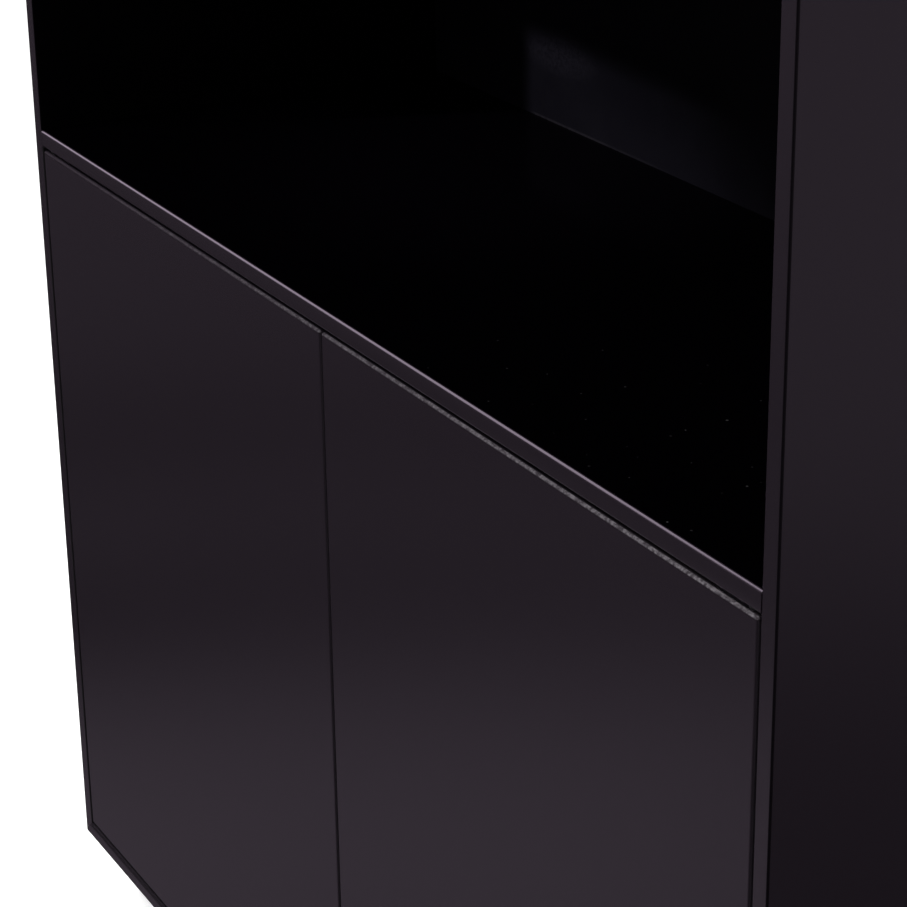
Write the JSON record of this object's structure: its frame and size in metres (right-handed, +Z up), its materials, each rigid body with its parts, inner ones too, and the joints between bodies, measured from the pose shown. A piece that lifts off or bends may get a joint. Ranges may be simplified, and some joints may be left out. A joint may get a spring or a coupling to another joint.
{
  "type": "media cabinet",
  "caption": "Near-black lacquered cabinet: open niche over flush inset doors that are pushed to open, on a set-back plinth.",
  "frame": {"origin": "on the floor, under the middle of the case in width and depth", "axes": "+Z up; +X to the right as seen from the front; the doors and the open niche face -Y, and +Y points to the wall"},
  "size_m": [1.2, 0.43, 1.3],
  "materials": {
    "black_lacquer": "satin black lacquer on board",
    "black_melamine": "matt black faced board",
    "zinc_steel": "zinc plated",
    "black_nylon": "moulded, fine grain",
    "grey_rubber": "soft, matt"
  },
  "bodies": {
    "cabinet": {"bottom_bumper": "grey_rubber", "bottom_panel": "black_lacquer", "centre_partition": "black_melamine", "corner_block_back_left": "black_melamine", "corner_block_back_right": "black_melamine", "corner_block_front_left": "black_melamine", "corner_block_front_right": "black_melamine", "glide_back_left": "black_nylon", "glide_back_middle": "black_nylon", "glide_back_right": "black_nylon", "glide_front_left": "black_nylon", "glide_front_middle": "black_nylon", "glide_front_right": "black_nylon", "left_bottom_case_leaf": "zinc_steel", "left_bottom_pivot_pin": "zinc_steel", "left_bottom_washer": "black_nylon", "left_latch_housing": "black_nylon", "left_shelf": "black_melamine", "left_shelf_pin_inner_back": "zinc_steel", "left_shelf_pin_inner_front": "zinc_steel", "left_shelf_pin_outer_back": "zinc_steel", "left_shelf_pin_outer_front": "zinc_steel", "left_side_panel": "black_lacquer", "left_top_case_leaf": "zinc_steel", "left_top_pivot_pin": "zinc_steel", "left_top_washer": "black_nylon", "lower_back_panel": "black_melamine", "niche_back_panel": "black_lacquer", "niche_floor": "black_lacquer", "plinth_back_rail": "black_lacquer", "plinth_front_rail": "black_lacquer", "plinth_left_rail": "black_lacquer", "plinth_middle_rail": "black_melamine", "plinth_right_rail": "black_lacquer", "right_bottom_case_leaf": "zinc_steel", "right_bottom_pivot_pin": "zinc_steel", "right_bottom_washer": "black_nylon", "right_latch_housing": "black_nylon", "right_shelf": "black_melamine", "right_shelf_pin_inner_back": "zinc_steel", "right_shelf_pin_inner_front": "zinc_steel", "right_shelf_pin_outer_back": "zinc_steel", "right_shelf_pin_outer_front": "zinc_steel", "right_side_panel": "black_lacquer", "right_top_case_leaf": "zinc_steel", "right_top_pivot_pin": "zinc_steel", "right_top_washer": "black_nylon", "top_bumper": "grey_rubber", "top_panel": "black_lacquer"},
    "left_door": {"left_bottom_door_leaf": "zinc_steel", "left_door": "black_lacquer", "left_strike_plate": "zinc_steel", "left_top_door_leaf": "zinc_steel"},
    "right_door": {"right_bottom_door_leaf": "zinc_steel", "right_door": "black_lacquer", "right_strike_plate": "zinc_steel", "right_top_door_leaf": "zinc_steel"},
    "left_plunger": {"left_plunger": "black_nylon"},
    "right_plunger": {"right_plunger": "black_nylon"}
  },
  "joints": [
    {"name": "left_door_hinge", "type": "hinge", "parent": "cabinet", "child": "left_door", "pos_m": [-0.569, -0.207, 0.4575], "axis": [0, 0, -1], "range_deg": [0, 110]},
    {"name": "right_door_hinge", "type": "hinge", "parent": "cabinet", "child": "right_door", "pos_m": [0.569, -0.207, 0.4575], "axis": [0, 0, 1], "range_deg": [0, 110]},
    {"name": "left_latch_press", "type": "slide", "parent": "cabinet", "child": "left_plunger", "axis": [0, 1, 0], "range_m": [0, 0.0025], "stiffness_N_per_m": 400},
    {"name": "right_latch_press", "type": "slide", "parent": "cabinet", "child": "right_plunger", "axis": [0, 1, 0], "range_m": [0, 0.0025], "stiffness_N_per_m": 400}
  ]
}
